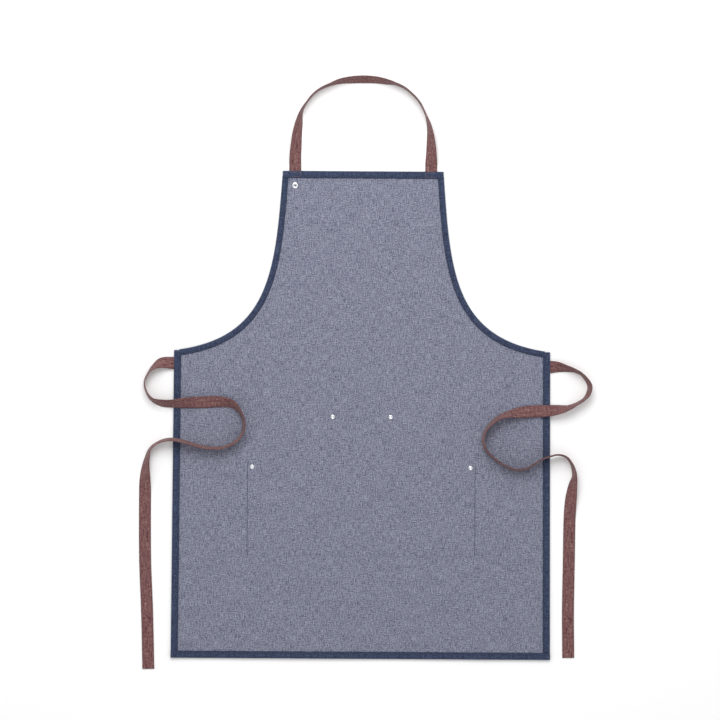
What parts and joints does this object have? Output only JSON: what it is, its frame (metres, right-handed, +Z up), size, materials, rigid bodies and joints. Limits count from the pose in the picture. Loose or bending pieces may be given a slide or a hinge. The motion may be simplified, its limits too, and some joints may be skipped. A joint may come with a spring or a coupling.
{
  "type": "bib apron",
  "caption": "Bound denim bib apron with a taped neck loop, two waist ties, a riveted patch pocket and an eyelet, laid flat on its front.",
  "frame": {"origin": "on the table under the centre line, midway between the hem and the top of the neck loop", "axes": "+X to the right as the wearer's side is seen from above, +Y towards the neck, +Z up, out of the wearer's side"},
  "size_m": [0.8342, 1.0969, 0.0267],
  "materials": {
    "denim_back": "matt twill, wrong side, pale grey blue with dark flecks",
    "denim_front": "matt twill, right side, dark indigo with a little wear",
    "cotton_tape": "matt woven cotton tape, reddish brown",
    "nickel": "bright nickel plate"
  },
  "bodies": {
    "apron": {"main_panel": "denim_back", "top_binding": "denim_front", "bottom_binding": "denim_front", "left_side_binding": "denim_front", "right_side_binding": "denim_front", "left_armhole_binding": "denim_front", "right_armhole_binding": "denim_front", "pocket_panel": "denim_front", "neck_strap_left_end": "cotton_tape", "neck_strap_right_end": "cotton_tape", "left_waist_tie": "cotton_tape", "right_waist_tie": "cotton_tape", "left_tie_end": "cotton_tape", "right_tie_end": "cotton_tape", "eyelet_barrel": "nickel", "eyelet_ring": "nickel", "left_outer_rivet_cap": "nickel", "left_outer_rivet_back": "nickel", "left_inner_rivet_cap": "nickel", "left_inner_rivet_back": "nickel", "right_inner_rivet_cap": "nickel", "right_inner_rivet_back": "nickel", "right_outer_rivet_cap": "nickel", "right_outer_rivet_back": "nickel"},
    "neck_loop": {"neck_strap": "cotton_tape"}
  },
  "joints": [
    {"name": "neck_loop_fold", "type": "hinge", "parent": "apron", "child": "neck_loop", "pos_m": [0, 0.3632, 0.0012], "axis": [1, 0, 0], "range_deg": [0, 90]}
  ]
}
